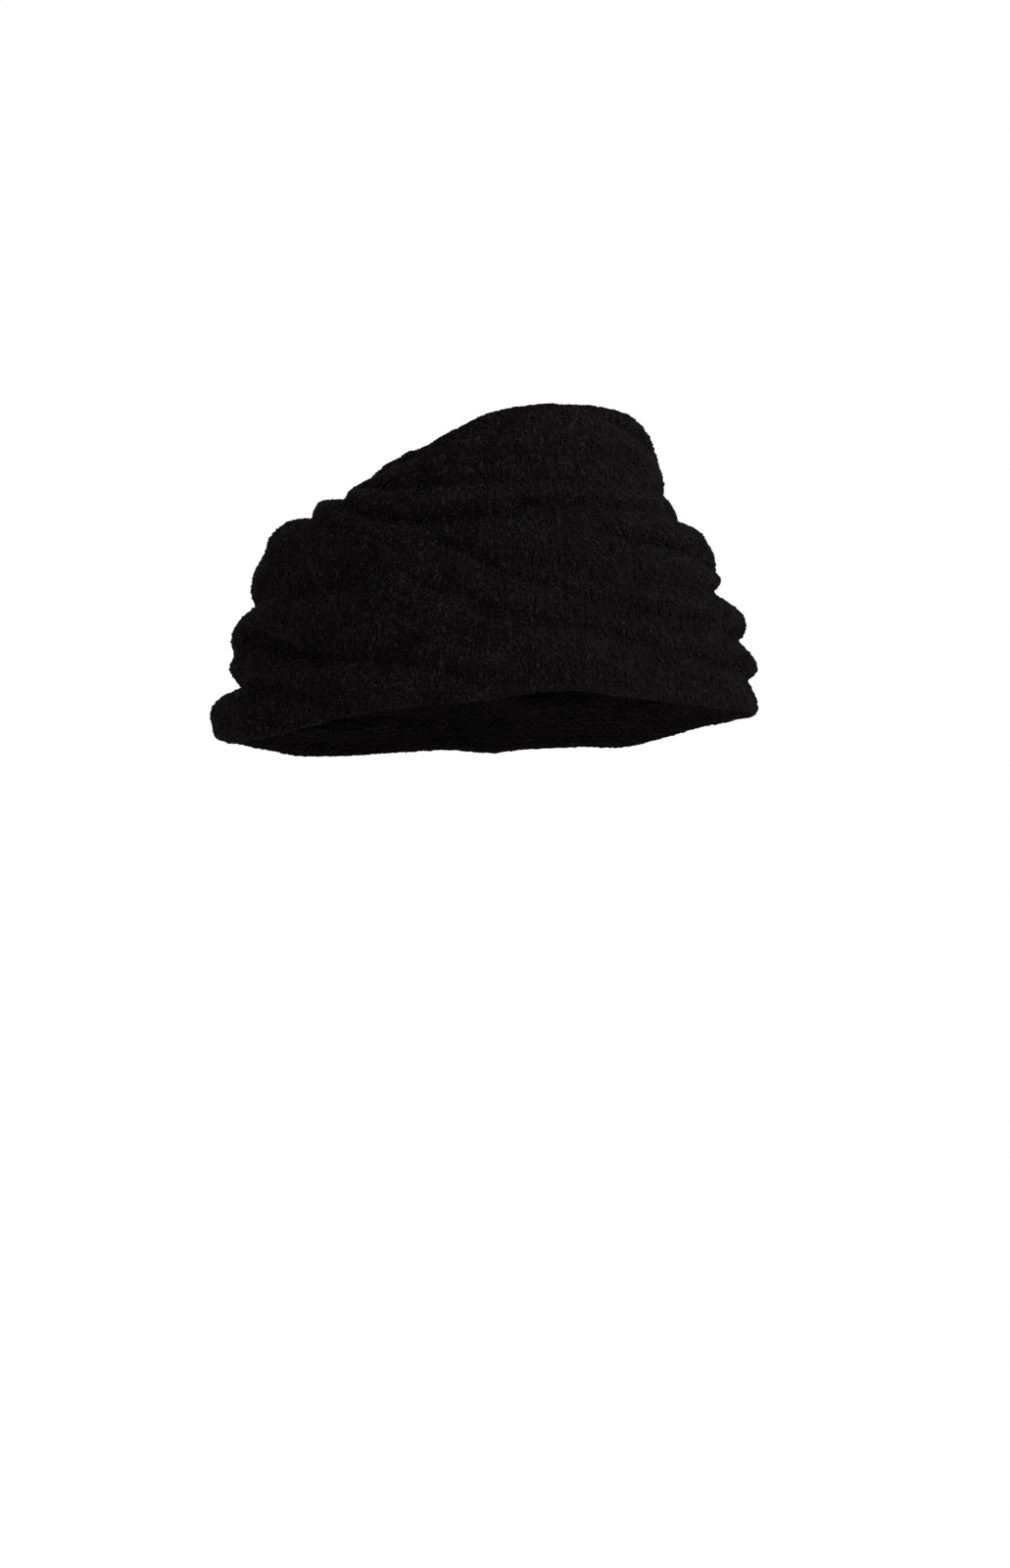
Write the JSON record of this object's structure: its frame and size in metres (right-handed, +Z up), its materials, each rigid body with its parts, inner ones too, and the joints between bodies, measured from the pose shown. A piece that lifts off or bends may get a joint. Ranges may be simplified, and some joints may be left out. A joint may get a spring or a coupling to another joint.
{
  "type": "knitted wool neck wrap",
  "caption": "Worn neck wrap of chunky near-black wool stockinette: a soft tube, high at the back of the neck and pushed down in slanting rolls to a wide hem on the shoulders.",
  "frame": {"origin": "on the neck's axis, at the height where the wrap bears on the shoulders", "axes": "+Z up, along the neck; +X to the wearer's right; -Y to the wearer's back, the side pictured"},
  "size_m": [0.2617, 0.2126, 0.1657],
  "materials": {
    "wool_knit": "matt fuzzy knit"
  },
  "bodies": {
    "root": {"knitted_tube": "wool_knit"}
  },
  "joints": []
}
